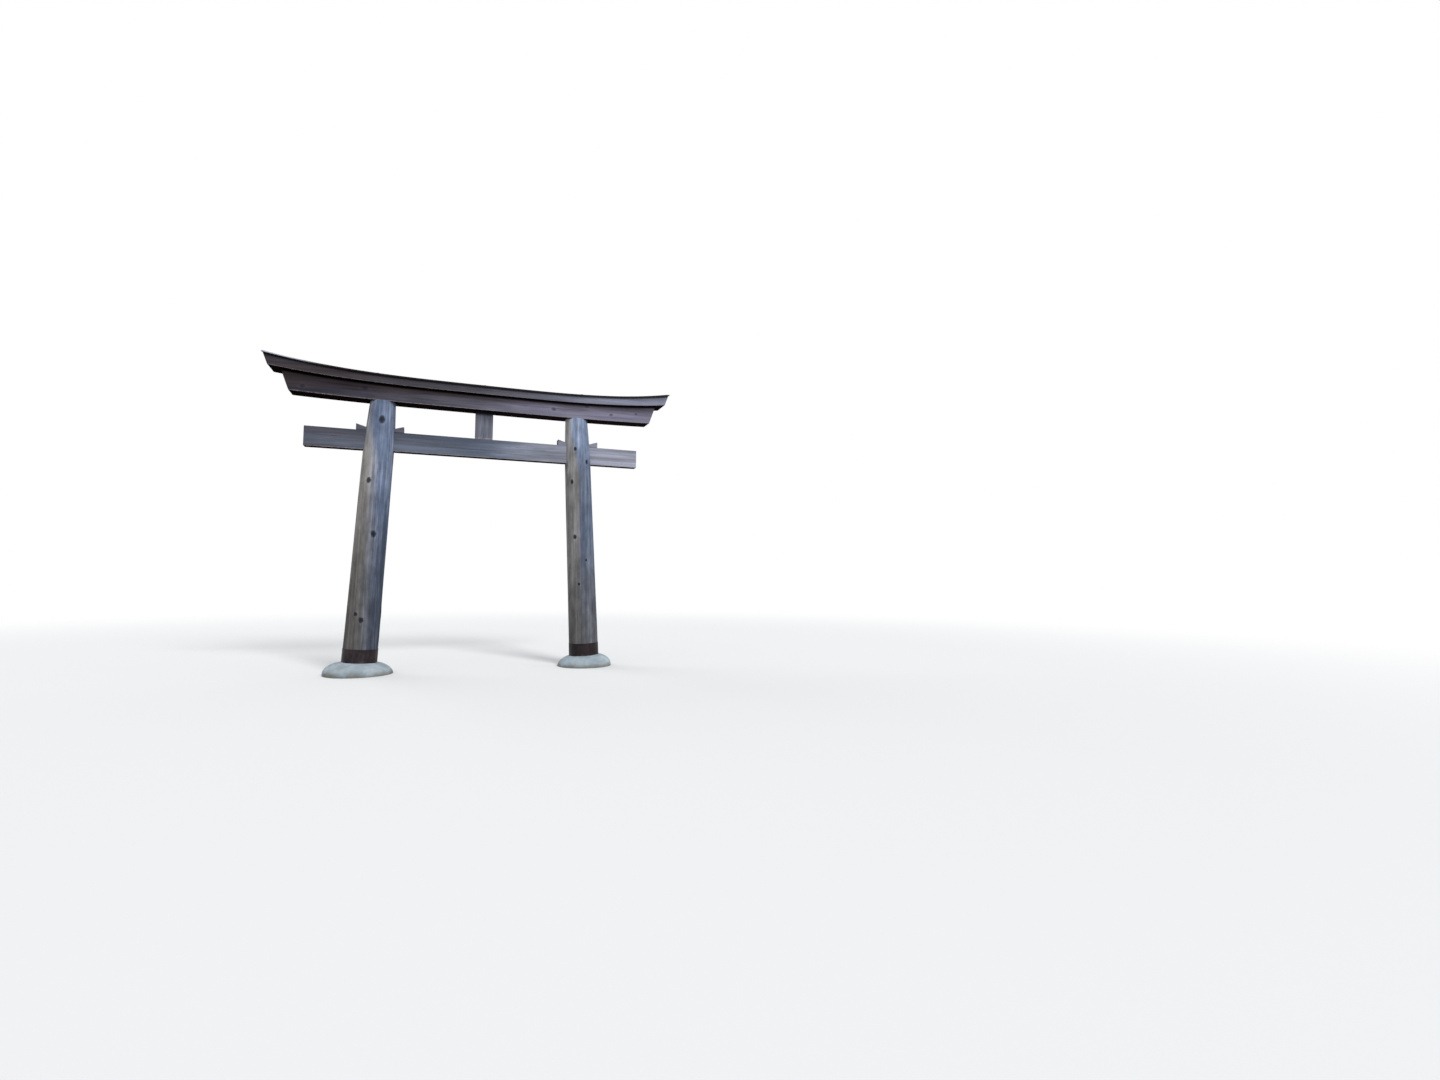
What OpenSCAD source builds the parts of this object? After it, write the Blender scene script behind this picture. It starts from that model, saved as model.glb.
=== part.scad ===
// Wooden torii gate: two battered log posts in rounded footings, a wedged tie beam,
// a centre strut and a double lintel that sweeps up and thickens towards its slanted ends.
// Millimetres. X runs along the gate, Y through it, Z up from the ground.

/* [Posts] */
// Distance between the post centres where they leave the footings
post_spacing = 2500; // [2200:10:3200]
// Height from the top of the footings to the underside of the lower lintel
post_h = 2935; // [2500:5:3400]
// Post diameter at the footing
post_base_d = 356; // [300:2:400]
// Post diameter where the head starts to round in
post_shoulder_d = 318; // [260:2:340]
// Post diameter at the head
post_top_d = 268; // [254:2:300]
// Length of the rounded head below the lower lintel
post_head_l = 620; // [200:10:800]
// Power of the curve by which the head rounds in: higher keeps it full for longer
head_power = 1.6; // [1:0.1:3]
// Radius of the softened rim of each post head
head_rim_r = 8; // [2:1:12]
// Inward lean of each post in degrees
post_lean = 2.9; // [0:0.1:5]
// Depth by which the lower lintel is let into the post heads
housing_depth = 6; // [3:1:40]
// Width of the square tenon on each post head
tenon_w = 90; // [60:5:120]
// Height of the tenon above the bottom of the housing
tenon_h = 110; // [60:5:140]

/* [Footings] */
// Height of the footings above the ground, where the posts leave them
footing_h = 135; // [100:5:250]
// Diameter of the left footing at the ground
left_footing_d = 712; // [600:2:900]
// Diameter of the right footing at the ground
right_footing_d = 656; // [600:2:900]
// Width of the ledge of each footing round its post
footing_ledge_w = 17; // [8:1:40]
// Fall of the ledge from the post outwards
footing_ledge_fall = 5; // [1:1:12]
// Height of the upright rim of each footing at the ground
footing_rim_h = 20; // [2:1:40]
// Power of the curve of each footing's shoulder: higher keeps it full for longer
footing_power = 1.7; // [1.2:0.1:3]
// Depth of each post foot inside its footing
socket_depth = 95; // [40:5:95]

/* [Foot bands] */
// Height of the metal band round each post foot
band_h = 150; // [80:5:300]
// Thickness of the band
band_t = 3; // [2:0.5:6]
// Width of the lap where the band closes
band_lap_w = 26; // [15:1:50]
// Height by which the lap stands above the band
band_lap_t = 1.5; // [0.5:0.5:4]
// Direction of the lap, in degrees from the right
band_lap_angle = 262; // [0:1:359]

/* [Tie beam] */
// Length of the tie beam
tie_beam_l = 3744; // [3200:4:4400]
// Height of the tie beam
tie_beam_h = 222; // [160:2:280]
// Thickness of the tie beam
tie_beam_t = 110; // [80:2:140]
// Clear height between the tie beam and the lower lintel
panel_h = 336; // [250:2:450]
// Width of the chamfer along the edges of the tie beam
tie_beam_chamfer = 5; // [2:1:12]

/* [Wedges] */
// Length of each wedge outside its post
wedge_out = 95; // [60:5:140]
// Length of each wedge inside its post
wedge_in = 60; // [30:5:80]
// Height of the wedge at its butt
wedge_butt_h = 70; // [45:1:90]
// Height of the wedge at its thin end
wedge_tip_h = 24; // [10:1:35]

/* [Centre strut] */
// Width of the centre strut
strut_w = 198; // [140:2:260]
// Thickness of the centre strut
strut_t = 104; // [70:2:130]
// Length of the stub tenon at each end of the strut
strut_tenon_l = 30; // [15:5:50]
// Width of the stub tenons
strut_tenon_w = 110; // [60:5:130]
// Thickness of the stub tenons
strut_tenon_t = 36; // [24:2:60]

/* [Lower lintel] */
// Length of the lower lintel along its underside
lower_lintel_l = 4040; // [3600:10:4300]
// Height of the lower lintel at mid-span
lower_lintel_h = 184; // [150:2:240]
// Thickness of the lower lintel
lower_lintel_t = 240; // [200:2:250]
// Rise of the underside of the lower lintel, carried on to the gate's tips
lower_sweep = 34; // [10:1:60]

/* [Upper lintel] */
// Length of the upper lintel between the tips of its eaves
upper_lintel_l = 4536; // [4400:4:5200]
// Height of the face of the upper lintel at mid-span
upper_lintel_h = 98; // [70:2:140]
// Thickness of the upper lintel
upper_lintel_t = 320; // [270:2:380]
// Rise of the joint between the lintels, carried on to the gate's tips
joint_sweep = 95; // [60:1:130]
// Rise of the eaves at the gate's tips
eaves_sweep = 130; // [130:1:200]
// Rise of the ridge above the eaves
ridge_rise = 34; // [20:2:100]
// Slant of the lintel ends in degrees, leaning outwards at the top
end_slant = 20; // [5:1:30]
// Power of the sweep: higher keeps the middle straight and lifts only the ends
sweep_power = 3.3; // [2:0.1:5]

/* [Roof sheets] */
// Thickness of the roof sheets
sheet_t = 4; // [2:0.5:6]
// Overhang of the roof sheets past the faces of the upper lintel
eaves_overhang = 20; // [8:1:40]
// Overhang of the roof sheets past the slanted ends of the upper lintel
end_overhang = 9; // [8:1:20]
// Depth of the folded drip edge
drip_h = 16; // [8:1:30]
// Width of the ridge cap, measured level across both slopes
ridge_cap_w = 84; // [50:2:120]
// Width of the flat folded seam where one sheet meets the next
seam_w = 14; // [8:1:24]

/* [Fits] */
// Side clearance of beams in their mortises and housings
joint_fit = 1; // [0.5:0.5:3]
// Clearance between faces that only rest on each other
seat_fit = 0.3; // [0.2:0.1:0.5]

/* [Hidden] */
SHEETS = 4;

LEFT = -1;
RIGHT = 1;
FRONT = -1;
BACK = 1;
round_fn = 96;
overrun = 400;
head_steps = 8;
rim_steps = 4;
footing_steps = 12;
lintel_steps = 96;
seam_steps = 2;
tip_x = upper_lintel_l / 2;
underside_z = footing_h + post_h;
joint_z = underside_z + lower_lintel_h;
eaves_z = joint_z + upper_lintel_h;
tie_beam_top_z = underside_z - panel_h;
tie_beam_z = tie_beam_top_z - tie_beam_h;
shoulder_t = post_h - post_head_l;
wood = "#8a8078";
dark_wood = "#655c55";
metal = "#3a322e";
plaster = "#c3c9c8";

// Share of the full rise reached at a place along the gate
function sweep(x) = pow(abs(x) / tip_x, sweep_power);
function underside_at(x) = underside_z + lower_sweep * sweep(x);
function joint_at(x) = joint_z + joint_sweep * sweep(x);
function eaves_at(x) = eaves_z + eaves_sweep * sweep(x);

// Radius of a post, at a distance along its axis from the top of the footing
function post_r(t) =
    t < shoulder_t
        ? post_base_d / 2 + (post_shoulder_d - post_base_d) / 2 * t / shoulder_t
        : post_shoulder_d / 2 - (post_shoulder_d - post_top_d) / 2 * pow((t - shoulder_t) / post_head_l, head_power);

// Centre of a post at a given height
function post_x(side, z) = side * (post_spacing / 2 - (z - footing_h) * tan(post_lean));

// Slope of the roof from the ridge down to the eaves
slope_angle = atan(ridge_rise / (upper_lintel_t / 2));

// Places what is drawn upright round the Z axis in the leaning frame of a post, which starts
// at the top of its footing
module along_post(side) {
    translate([side * post_spacing / 2, 0, footing_h])
        rotate([0, -side * post_lean, 0])
            children();
}

// A post as turned, leaning, longer than it needs to be at both ends, with its radius grown
module turned_post(side, grow = 0) {
    stations = concat(
        [-overrun, 0],
        [for (i = [0:head_steps]) shoulder_t + post_head_l * i / head_steps]);
    profile = concat(
        [[0, -overrun]],
        [for (t = stations) [post_r(t) + grow, t]],
        [[post_top_d / 2 + grow, post_h + overrun], [0, post_h + overrun]]);
    along_post(side)
        rotate_extrude($fn = round_fn)
            polygon(profile);
}

// A level slab wide enough to trim a post or a footing between two heights
module level_slab(z0, z1) {
    slab_l = post_spacing + 4 * overrun;
    translate([-slab_l / 2, -2 * overrun, z0])
        cube([slab_l, 4 * overrun, z1 - z0]);
}

// The lower lintel seen from the front, as a side profile with swept edges and slanted ends
module lower_lintel_profile() {
    half_l = lower_lintel_l / 2;
    end_h = joint_at(half_l) - underside_at(half_l);
    top_half_l = half_l + end_h * tan(end_slant);
    bottom = [for (i = [-lintel_steps / 2:lintel_steps / 2])
        let (x = half_l * 2 * i / lintel_steps) [x, underside_at(x)]];
    top = [for (i = [lintel_steps / 2:-1:-lintel_steps / 2])
        let (x = top_half_l * 2 * i / lintel_steps) [x, joint_at(x) - seat_fit]];
    polygon(concat(bottom, top));
}

// A profile drawn in the plane of the gate, made into a solid of a given thickness
module through_gate(thickness) {
    translate([0, thickness / 2, 0])
        rotate([90, 0, 0])
            linear_extrude(thickness)
                children();
}

// Square tenon at the head of a post, grown by a clearance
module head_tenon(side, grow = 0) {
    x = post_x(side, underside_z);
    translate([x - tenon_w / 2 - grow, -tenon_w / 2 - grow, underside_z - overrun])
        cube([tenon_w + 2 * grow, tenon_w + 2 * grow, overrun + tenon_h + 2 * grow]);
}

// The outline of a footing in the frame of its post, carried on below the ground
function footing_outline(rim_r) =
    let (
        low = footing_rim_h - footing_h,
        high = -footing_ledge_fall,
        ledge_r = post_base_d / 2 + band_t,
        top_r = post_base_d / 2 + footing_ledge_w,
        shoulder = [for (i = [0:footing_steps])
            let (a = 90 * i / footing_steps)
            [top_r + (rim_r - top_r) * pow(cos(a), 2 / footing_power),
             low + (high - low) * pow(sin(a), 2 / footing_power)]])
    concat([[0, -2 * footing_h], [rim_r, -2 * footing_h]], shoulder, [[ledge_r, 0], [0, 0]]);

// A footing stands square to its leaning post and ends level at the ground
module footing(side, d) {
    color(plaster)
        difference() {
            intersection() {
                along_post(side)
                    rotate_extrude($fn = round_fn)
                        polygon(footing_outline(d / 2));
                level_slab(0, footing_h + overrun);
            }
            intersection() {
                turned_post(side, seat_fit);
                level_slab(footing_h - socket_depth, footing_h + overrun);
            }
        }
}

// A ring round the foot of a post, in the frame of the post
module foot_ring(thickness) {
    inner = seat_fit;
    outer = seat_fit + thickness;
    rotate_extrude($fn = round_fn)
        polygon([[post_r(0) + inner, 0], [post_r(0) + outer, 0],
                 [post_r(band_h) + outer, band_h], [post_r(band_h) + inner, band_h]]);
}

module foot_band(side) {
    color(metal)
        along_post(side) {
            foot_ring(band_t);
            band_lap();
        }
}

// The lap is the part of a slightly thicker ring that lies within a narrow upright slot
module band_lap() {
    intersection() {
        foot_ring(band_t + band_lap_t);
        rotate([0, 0, band_lap_angle])
            translate([0, -band_lap_w / 2, -overrun])
                cube([overrun, band_lap_w, 2 * overrun]);
    }
}

// All that lies within the softened rim of a post head
module within_head_rim(side) {
    top_z = underside_z + housing_depth;
    rim_low_z = top_z - 2 * head_rim_r;
    rim = post_top_d / 2 / cos(post_lean) + (top_z - rim_low_z) * tan(post_lean);
    quarter = [for (i = [0:rim_steps])
        let (a = 90 * i / rim_steps)
        [rim - head_rim_r + head_rim_r * cos(a), top_z - head_rim_r + head_rim_r * sin(a)]];
    translate([post_x(side, top_z), 0, 0])
        rotate_extrude($fn = round_fn)
            polygon(concat([[0, 0], [overrun, 0], [overrun, rim_low_z - overrun], [rim, rim_low_z]],
                           quarter,
                           [[0, top_z]]));
}

module post(side) {
    color(wood)
        difference() {
            union() {
                intersection() {
                    turned_post(side);
                    level_slab(footing_h - socket_depth, underside_z + housing_depth);
                    within_head_rim(side);
                }
                intersection() {
                    head_tenon(side);
                    level_slab(underside_z - housing_depth, joint_z);
                }
            }
            difference() {
                through_gate(lower_lintel_t + 2 * joint_fit)
                    lower_lintel_profile();
                head_tenon(side);
            }
            tie_beam_mortise(side);
        }
}

// The mortise holds the tie beam and, above it, the inner ends of the two wedges
module tie_beam_mortise(side) {
    mortise_h = tie_beam_h + wedge_h_at_face() + joint_fit;
    translate([post_x(side, tie_beam_z) - overrun, -tie_beam_t / 2 - joint_fit, tie_beam_z])
        cube([2 * overrun, tie_beam_t + 2 * joint_fit, mortise_h]);
}

module tie_beam() {
    c = tie_beam_chamfer;
    y = tie_beam_t / 2;
    z = tie_beam_h;
    color(dark_wood)
        difference() {
            translate([-tie_beam_l / 2, 0, tie_beam_z])
                rotate([90, 0, 90])
                    linear_extrude(tie_beam_l)
                        polygon([[c - y, 0], [y - c, 0], [y, c], [y, z - c],
                                 [y - c, z], [c - y, z], [-y, z - c], [-y, c]]);
            strut_tenons(joint_fit);
        }
}

function wedge_h_at_face() = wedge_tip_h + (wedge_butt_h - wedge_tip_h) * wedge_in / (wedge_in + wedge_out);

// A wedge driven into the mortise on top of the tie beam, from the side that "way" points to
module wedge(side, way) {
    r = post_r(tie_beam_top_z - footing_h);
    face_x = post_x(side, tie_beam_top_z) + way * r;
    color(dark_wood)
        through_gate(tie_beam_t - 2 * joint_fit)
            polygon([
                [face_x + way * wedge_out, tie_beam_top_z],
                [face_x + way * wedge_out, tie_beam_top_z + wedge_butt_h],
                [face_x - way * wedge_in, tie_beam_top_z + wedge_tip_h],
                [face_x - way * wedge_in, tie_beam_top_z]]);
}

// The stub tenons at both ends of the strut, as one bar through it, grown by a clearance
module strut_tenons(grow = 0) {
    low = tie_beam_top_z - strut_tenon_l - grow;
    high = underside_z + strut_tenon_l + grow;
    translate([-strut_tenon_w / 2 - grow, -strut_tenon_t / 2 - grow, low])
        cube([strut_tenon_w + 2 * grow, strut_tenon_t + 2 * grow, high - low]);
}

module centre_strut() {
    color(wood) {
        translate([-strut_w / 2, -strut_t / 2, tie_beam_top_z])
            cube([strut_w, strut_t, panel_h]);
        strut_tenons();
    }
}

module lower_lintel() {
    color(dark_wood)
        difference() {
            through_gate(lower_lintel_t)
                lower_lintel_profile();
            for (side = [LEFT, RIGHT])
                head_tenon(side, joint_fit);
            strut_tenons(joint_fit);
        }
}

// A band between two heights above the eaves, over part of the gate's length, drawn as if
// seen along a slope that is tilted by an angle
module eaves_band(x0, x1, low, high, steps, angle = 0) {
    squash = cos(angle);
    xs = [for (i = [0:steps]) x0 + (x1 - x0) * i / steps];
    polygon([
        for (x = xs) [x, (eaves_at(x) - eaves_z + low) * squash],
        for (i = [steps:-1:0]) [xs[i], (eaves_at(xs[i]) - eaves_z + high) * squash]]);
}

// Carries a profile along one slope of the roof, with heights measured at the eaves
module along_slope(face) {
    mirror([0, face == FRONT ? 0 : 1, 0])
        translate([0, -upper_lintel_t / 2, eaves_z])
            rotate([slope_angle, 0, 0])
                through_gate(2 * overrun)
                    children();
}

// All that lies within the slanted ends of the upper lintel, moved out by a margin
module within_ends(margin) {
    low = underside_z;
    high = eaves_z + eaves_sweep + overrun;
    low_l = tip_x + margin - (eaves_at(tip_x) - low) * tan(end_slant);
    high_l = tip_x + margin + (high - eaves_at(tip_x)) * tan(end_slant);
    through_gate(2 * overrun)
        polygon([[-low_l, low], [low_l, low], [high_l, high], [-high_l, high]]);
}

module upper_lintel() {
    reach = tip_x + overrun;
    x_step = 2 * reach / lintel_steps;
    underside = [for (i = [0:lintel_steps]) let (x = i * x_step - reach) [x, joint_at(x)]];
    high = eaves_at(reach) + ridge_rise;
    color(dark_wood)
        intersection() {
            through_gate(upper_lintel_t)
                polygon(concat(underside, [[reach, high], [-reach, high]]));
            along_slope(FRONT)
                eaves_band(-reach, reach, -overrun, 0, lintel_steps, slope_angle);
            along_slope(BACK)
                eaves_band(-reach, reach, -overrun, 0, lintel_steps, slope_angle);
            within_ends(0);
        }
}

// A box over one slope of the roof, between two distances from the ridge and two places along it
module slope_box(face, y0, y1, x0, x1) {
    y = face == FRONT ? -y1 : y0;
    translate([x0, y, joint_z - overrun])
        cube([x1 - x0, y1 - y0, 3 * overrun]);
}

// The edge of the outer sheets, folded down over the slanted ends of the upper lintel
module end_fold(face, x0, x1, y_out, steps) {
    difference() {
        intersection() {
            along_slope(face)
                eaves_band(x0, x1, -drip_h, seat_fit + sheet_t / 2, steps, slope_angle);
            slope_box(face, seat_fit / 2, y_out, x0, x1);
        }
        within_ends(end_overhang - sheet_t);
    }
}

// One length of roof sheet on one slope, from the ridge down to its folded drip edge
module roof_sheet(face, i) {
    y_out = upper_lintel_t / 2 + eaves_overhang;
    y_in = y_out - sheet_t;
    fold_fall = (eaves_overhang - sheet_t / 2) * tan(slope_angle);
    reach = tip_x + end_overhang + ridge_rise * tan(end_slant);
    x0 = reach * (2 * (i - 1) / SHEETS - 1);
    x1 = reach * (2 * i / SHEETS - 1);
    steps = lintel_steps / SHEETS;
    color(metal)
        intersection() {
            union() {
                intersection() {
                    along_slope(face)
                        eaves_band(x0, x1, seat_fit, seat_fit + sheet_t, steps, slope_angle);
                    slope_box(face, seat_fit / 2, y_out, x0, x1);
                }
                translate([0, face * (y_in + sheet_t / 2), eaves_z])
                    through_gate(sheet_t)
                        eaves_band(x0, x1, -drip_h, seat_fit + sheet_t / 2 - fold_fall, steps);
                if (i < SHEETS)
                    folded_seam(face, x1, y_out);
                if (i == 1 || i == SHEETS)
                    end_fold(face, x0, x1, y_out, steps);
            }
            within_ends(end_overhang);
        }
}

// The flat folded seam over the edge of a sheet, from the ridge cap down to the eaves
module folded_seam(face, x, y_out) {
    intersection() {
        along_slope(face)
            eaves_band(x - seam_w, x, seat_fit, seat_fit + 2 * sheet_t, seam_steps, slope_angle);
        slope_box(face, ridge_cap_w / 2 + seat_fit, y_out, x - seam_w, x);
    }
}

module ridge_cap(side) {
    reach = side * (tip_x + end_overhang + ridge_rise * tan(end_slant));
    x0 = min(0, reach);
    x1 = max(0, reach);
    low = sheet_t + 2 * seat_fit;
    color(metal)
        intersection() {
            for (face = [FRONT, BACK])
                intersection() {
                    along_slope(face)
                        eaves_band(x0, x1, low, low + sheet_t, lintel_steps / 2, slope_angle);
                    slope_box(face, 0, ridge_cap_w / 2, x0, x1);
                }
            within_ends(end_overhang);
        }
}

footing(LEFT, left_footing_d);  // left_footing
footing(RIGHT, right_footing_d);  // right_footing
foot_band(LEFT);  // left_foot_band
foot_band(RIGHT);  // right_foot_band
post(LEFT);  // left_post
post(RIGHT);  // right_post
tie_beam();
wedge(LEFT, LEFT);  // left_outer_wedge
wedge(LEFT, RIGHT);  // left_inner_wedge
wedge(RIGHT, LEFT);  // right_inner_wedge
wedge(RIGHT, RIGHT);  // right_outer_wedge
centre_strut();
lower_lintel();
upper_lintel();
for (i = [1:SHEETS]) {
    roof_sheet(FRONT, i);
    roof_sheet(BACK, i);
}
ridge_cap(LEFT);  // left_ridge_cap
ridge_cap(RIGHT);  // right_ridge_cap
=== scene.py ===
# Looks of a weathered log torii gate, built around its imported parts.
# Metres: +X runs along the gate, +Y away from the front, +Z up from the ground.
import math
import random

import bmesh
import bpy
from mathutils import Matrix, Vector, noise


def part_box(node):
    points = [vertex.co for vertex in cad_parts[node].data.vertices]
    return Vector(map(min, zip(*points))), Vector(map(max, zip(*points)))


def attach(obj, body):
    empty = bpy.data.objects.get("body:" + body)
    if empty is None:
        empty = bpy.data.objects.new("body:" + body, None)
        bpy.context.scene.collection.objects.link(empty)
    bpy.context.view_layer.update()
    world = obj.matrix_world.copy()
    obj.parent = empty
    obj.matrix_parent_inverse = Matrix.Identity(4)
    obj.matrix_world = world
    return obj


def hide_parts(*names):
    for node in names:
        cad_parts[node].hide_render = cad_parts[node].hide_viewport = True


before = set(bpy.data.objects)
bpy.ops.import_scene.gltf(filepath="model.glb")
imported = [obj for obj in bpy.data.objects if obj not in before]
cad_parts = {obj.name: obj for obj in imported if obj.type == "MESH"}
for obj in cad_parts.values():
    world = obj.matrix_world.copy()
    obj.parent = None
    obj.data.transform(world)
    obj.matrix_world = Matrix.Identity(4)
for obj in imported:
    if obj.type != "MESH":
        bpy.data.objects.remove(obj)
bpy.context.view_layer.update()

LEFT, RIGHT = -1, 1
FRONT, BACK = -1, 1
SIDES = {LEFT: "left", RIGHT: "right"}
SEAT_GAP = 0.0003
JOINT_GAP = 0.001
SAME_PLACE, ON_PLANE, ON_ROW = 1e-6, 1e-5, 1e-4
WOOD_CREASE, METAL_CREASE, MORTAR_CREASE = 38, 30, 50
HEIGHT_SHARE = "height_share"

# Footings and foot bands
LEDGE_WIDTH = 0.017
LEDGE_FALL = 0.005
FOOTING_RIM = 0.02
FOOTING_POWER = 1.7
FOOTING_BELOW_RIM = 0.08
FOOTING_LUMPS, FOOTING_TROWEL = 0.003, 0.0009
FOOTING_EVEN, FOOTING_UNEVEN = 0.006, 0.05
SOCKET_GAP = 0.0012
BAND_HEIGHT = 0.15
BAND_T, BAND_METAL_T = 0.003, 0.0022
BAND_DENTS = 0.0008
BAND_LAP_ANGLE = math.radians(262)
BAND_LAP_HALF, BAND_LAP_T, LAP_SIDE = 0.013, 0.0015, 0.1
RIVET_R, RIVET_GAP, RIVET_MARGIN, RIVET_SUNK = 0.0035, 0.028, 0.018, 0.0024

# Posts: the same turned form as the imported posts
POST_SPACING = 2.5
POST_LEAN = math.radians(2.9)
POST_HEIGHT = 2.935
POST_HEAD = 0.62
POST_BASE_R = 0.178
POST_SHOULDER_R = 0.159
POST_TOP_R = 0.134
HEAD_POWER = 1.6
HEAD_RIM_R, HEAD_RIM_ZONE = 0.008, 0.004
HOUSING_DEPTH = 0.006
SOCKET_DEPTH = 0.095
TENON_WIDTH, TENON_HEIGHT, TENON_START = 0.09, 0.11, 0.002
SPIRAL = math.radians(9.6)
MORTISE_OVER_BEAM = 0.0428
CUT_REACH, CUT_HALF_WIDTH, CUT_RISE = 0.45, 0.4, 0.2
CORE_R = 0.05
SKIN_START, SKIN_FULL = BAND_HEIGHT + 0.005, 0.32
SKIN_LUMPS, SKIN_HEWN = 0.0026, 0.0009
KNOT_SWELL, KNOT_HOLLOW = 0.0036, 0.002

# Lintels: the sweep of their edges and the slant of their ends
TIP_X = 2.268
SWEEP_POWER = 3.3
LOWER_SWEEP, JOINT_SWEEP, EAVES_SWEEP = 0.034, 0.095, 0.13
LOWER_HALF_LENGTH = 2.02
UPPER_FACE_HEIGHT = 0.098
RIDGE_RISE = 0.034
END_SLANT = math.radians(20)

# Worn edges and faces of the sawn pieces
TIE_ARRIS, STRUT_ARRIS, LOWER_ARRIS, UPPER_ARRIS, WEDGE_ARRIS = 0.005, 0.004, 0.005, 0.004, 0.0035
RIPPLE, LOWER_RIPPLE, RIPPLE_ZONE = 0.0009, 0.001, 0.02

# Wedges, roof sheets and ridge caps
WEDGE_TIP = 0.024
BUTT_ZONE, BUTT_WEAR, WEDGE_WEAR = 0.03, 0.0015, 0.0012
SHEETS = 4
SHEET_T = 0.004
METAL_T = 0.0026
EAVES_OVERHANG = 0.02
END_OVERHANG = 0.0088
DRIP_HEIGHT = 0.016
SEAM_WIDTH, SEAM_RISE, SEAM_CLEAR = 0.014, 0.003, 0.004
ROOF_BEND = 0.004
ROOF_DENTS = 0.0006
CAP_WIDTH, CAP_DEPTH, CAP_BEND = 0.084, 0.0035, 0.0015
CAP_GROOVE, CAP_GROOVE_HALF, CAP_CUT = 0.0012, 0.006, 0.004
ROOF_REACH = TIP_X + END_OVERHANG + RIDGE_RISE * math.tan(END_SLANT)
END_STRETCH = 0.12

# How finely the pieces are divided, along x, y and z where there are three
POST_FACETS, POST_GAP = 168, 0.0115
HEAD_GAP, HEAD_ZONE, HEAD_SPARE = 0.002, 0.02, 0.04
BAND_FACETS, BAND_GAP = 144, 0.0094
FOOTING_FACETS, FOOTING_GAP, FOOTING_ARC = 168, 0.01, math.pi / 70
TIE_GAPS = (0.024, 0.028, 0.0222)
LINTEL_GAPS = (0.026, 0.024, 0.0205)
STRUT_GAPS = (0.012, 0.012, 0.012)
WEDGE_GAPS = (0.0125, 0.0125, 0.0125)
SHEET_GAPS = (0.03, 0.0195)

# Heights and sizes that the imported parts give
UNDERSIDE_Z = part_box("lower_lintel")[0].z
FOOT_TOP = UNDERSIDE_Z - POST_HEIGHT
JOINT_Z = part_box("upper_lintel")[0].z
EAVES_Z = JOINT_Z + UPPER_FACE_HEIGHT
LOWER_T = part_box("lower_lintel")[1].y * 2
UPPER_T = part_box("upper_lintel")[1].y * 2
TIE_LOW, TIE_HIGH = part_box("tie_beam")

# Knots of the posts as (height up the post, angle from the front in degrees, radius)
POST_KNOTS = {
    LEFT: [(2.721, 6, 0.033), (2.023, -21, 0.026), (1.425, 12, 0.027), (0.473, -2, 0.023),
           (0.535, -22, 0.017)],
    RIGHT: [(2.553, -20, 0.018), (2.396, 33, 0.021), (2.144, -39, 0.02), (1.462, -32, 0.022),
            (1.173, 12, 0.012), (0.882, -21, 0.014)],
}
BACK_KNOTS = 6

# Knots of the lower lintel as (place along it, height, radius)
LINTEL_KNOTS = {
    FRONT: [(-1.89, 3.15, 0.02), (-1.28, 3.195, 0.026), (0.805, 3.163, 0.022), (1.21, 3.242, 0.024),
            (1.517, 3.157, 0.018), (1.843, 3.201, 0.014)],
    BACK: [(-1.6, 3.2, 0.022), (-0.72, 3.15, 0.018), (0.2, 3.22, 0.024), (1.4, 3.17, 0.02)],
}

# Long drying checks of the posts as (angle at the foot, start, end, width): they follow the spiral
POST_CHECKS = {
    LEFT: [(28, 0.95, 2.5, 0.0035), (-30, 0.5, 1.3, 0.003), (75, 0.7, 2.2, 0.004), (150, 0.4, 2.6, 0.007),
           (-95, 0.3, 1.9, 0.004), (-140, 1.2, 2.7, 0.003), (210, 0.3, 1.4, 0.004)],
    RIGHT: [(-23, 1.15, 2.65, 0.0035), (30, 0.35, 1.1, 0.003), (-80, 0.5, 2.0, 0.004),
            (200, 0.35, 2.7, 0.007), (128, 0.3, 1.6, 0.004), (75, 1.3, 2.6, 0.003), (-125, 0.3, 1.2, 0.004)],
}
POST_CHECK_DEPTH = 4  # in widths

# Checks in the beams' faces as (face, height over the underside, start, end). The strut's run upright
# and are given as (face, place across, start, end), from its foot.
TIE_CHECKS = [
    (FRONT, 0.09, -0.75, 0.1), (FRONT, 0.16, 0.2, 0.85), (FRONT, 0.07, 1.3, 1.78), (FRONT, 0.13, -1.8, -1.35),
    (BACK, 0.11, -0.7, 0.75), (BACK, 0.06, 1.25, 1.7), (BACK, 0.15, -1.75, -1.3)]
STRUT_CHECKS = [
    (FRONT, 0.045, 0.0, 0.24), (FRONT, -0.05, 0.12, 0.336), (FRONT, 0.075, 0.05, 0.2),
    (BACK, 0.02, 0.02, 0.3), (BACK, -0.06, 0.1, 0.28)]
LOWER_CHECKS = [
    (FRONT, 0.06, -1.0, 0.15), (FRONT, 0.11, 0.35, 1.3), (FRONT, 0.035, 0.9, 1.7), (FRONT, 0.13, -1.85, -1.2),
    (FRONT, 0.045, -1.9, -1.5), (BACK, 0.08, -1.4, 0.3), (BACK, 0.12, 0.5, 1.7), (BACK, 0.04, -0.6, 0.6)]
UPPER_CHECKS = [
    (FRONT, 0.04, -0.5, 0.55), (FRONT, 0.06, 1.0, 1.75), (FRONT, 0.06, -1.7, -1.0),
    (BACK, 0.06, -1.1, 0.2), (BACK, 0.04, 0.5, 1.6)]
FACE_CHECK_WIDTH, FACE_CHECK_DEPTH = 0.0028, 0.011

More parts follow.
